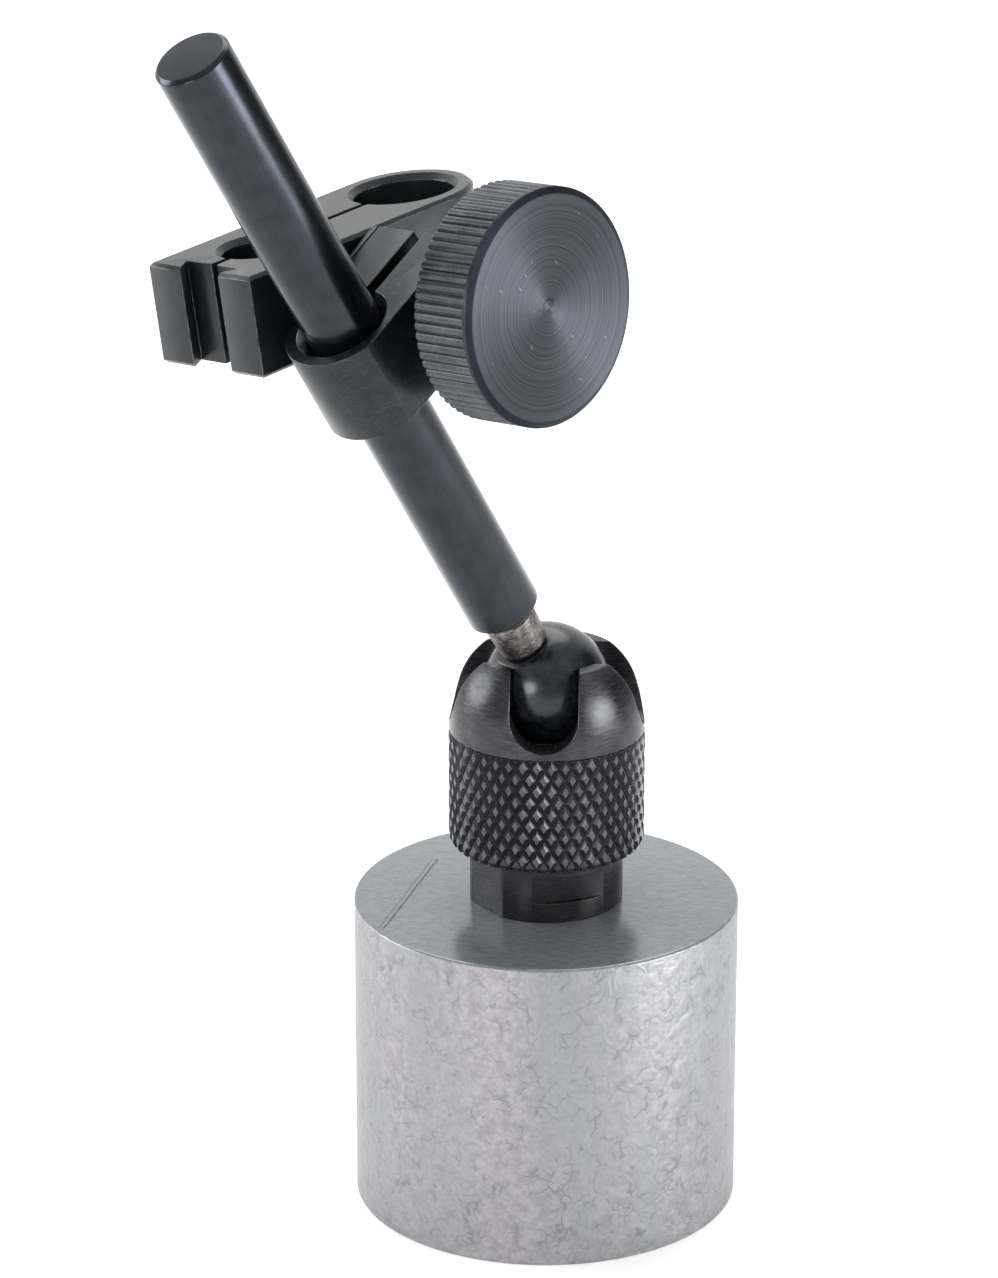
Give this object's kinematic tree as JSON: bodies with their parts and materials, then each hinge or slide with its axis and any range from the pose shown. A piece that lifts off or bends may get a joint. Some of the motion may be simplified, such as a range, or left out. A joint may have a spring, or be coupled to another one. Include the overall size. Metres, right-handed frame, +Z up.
{
  "type": "magnetic indicator stand",
  "caption": "Small magnetic-base stand: a ball-jointed rod carries a split clamp that holds an indicator by its stem or its dovetail, all locked by a sleeve and a thumb screw.",
  "frame": {"origin": "centre of the magnet's face, on the plane that the stand rests on", "axes": "+Z up along the base's axis; the rod leans to the -X, -Y side and the viewer of the picture stands on the -Y side"},
  "size_m": [0.0468, 0.0401, 0.1024],
  "materials": {
    "pot_shell": "zinc-plated steel cup with a spangled, slightly mottled side",
    "magnet_core": "cast magnet alloy, ground on its face",
    "spacer_ring": "turned non-magnetic ring, ground flush",
    "base_stud": "plain steel threaded stud",
    "joint_body": "black oxide, turned, with milled flats",
    "ball_seat": "turned steel cup, blackened and lightly greased",
    "knurled_sleeve": "black oxide, turned dome with a diamond knurl below",
    "ball": "polished black oxide, glossy",
    "ball_stud": "bare worn steel, brownish silver",
    "rod": "satin blue-black oxide",
    "rod_clamp": "satin black oxide with bright thin edges",
    "friction_washer": "plain steel plate",
    "indicator_bar": "grey-black oxide with fine milling grain",
    "thumb_screw": "blue-black oxide with turning rings and a straight knurl"
  },
  "bodies": {
    "base": {"pot_shell": "pot_shell", "magnet_core": "magnet_core", "spacer_ring": "spacer_ring", "base_stud": "base_stud", "joint_body": "joint_body"},
    "sleeve": {"knurled_sleeve": "knurled_sleeve"},
    "seat": {"ball_seat": "ball_seat"},
    "ball_arm": {"ball": "ball", "ball_stud": "ball_stud"},
    "rod": {"rod": "rod"},
    "clamp": {"rod_clamp": "rod_clamp", "friction_washer": "friction_washer"},
    "bar": {"indicator_bar": "indicator_bar"},
    "screw": {"thumb_screw": "thumb_screw"}
  },
  "joints": [
    {"name": "sleeve_turn", "type": "hinge", "parent": "base", "child": "sleeve", "pos_m": [0, 0, 0.036], "axis": [0, 0, 1], "range_deg": [-10, 180]},
    {"name": "ball_swivel", "type": "hinge", "parent": "base", "child": "seat", "pos_m": [0, 0, 0.0443], "axis": [0, 0, 1], "continuous": true},
    {"name": "ball_tilt", "type": "hinge", "parent": "seat", "child": "ball_arm", "pos_m": [0, 0, 0.0443], "axis": [0.6331, -0.7741, 0], "range_deg": [-65.5, 3.5]},
    {"name": "rod_spin", "type": "hinge", "parent": "ball_arm", "child": "rod", "pos_m": [0, 0, 0.0443], "axis": [-0.3987, -0.3261, 0.8572], "continuous": true},
    {"name": "clamp_slide", "type": "slide", "parent": "rod", "child": "clamp", "axis": [-0.3987, -0.3261, 0.8572], "range_m": [-0.0225, 0.026]},
    {"name": "bar_swivel", "type": "hinge", "parent": "clamp", "child": "bar", "pos_m": [-0.01015, -0.00672, 0.07931], "axis": [0.7296, -0.6791, 0.081], "continuous": true},
    {"name": "screw_turn", "type": "hinge", "parent": "clamp", "child": "screw", "pos_m": [-0.01015, -0.00672, 0.07931], "axis": [0.7296, -0.6791, 0.081], "range_deg": [-10, 360]}
  ]
}
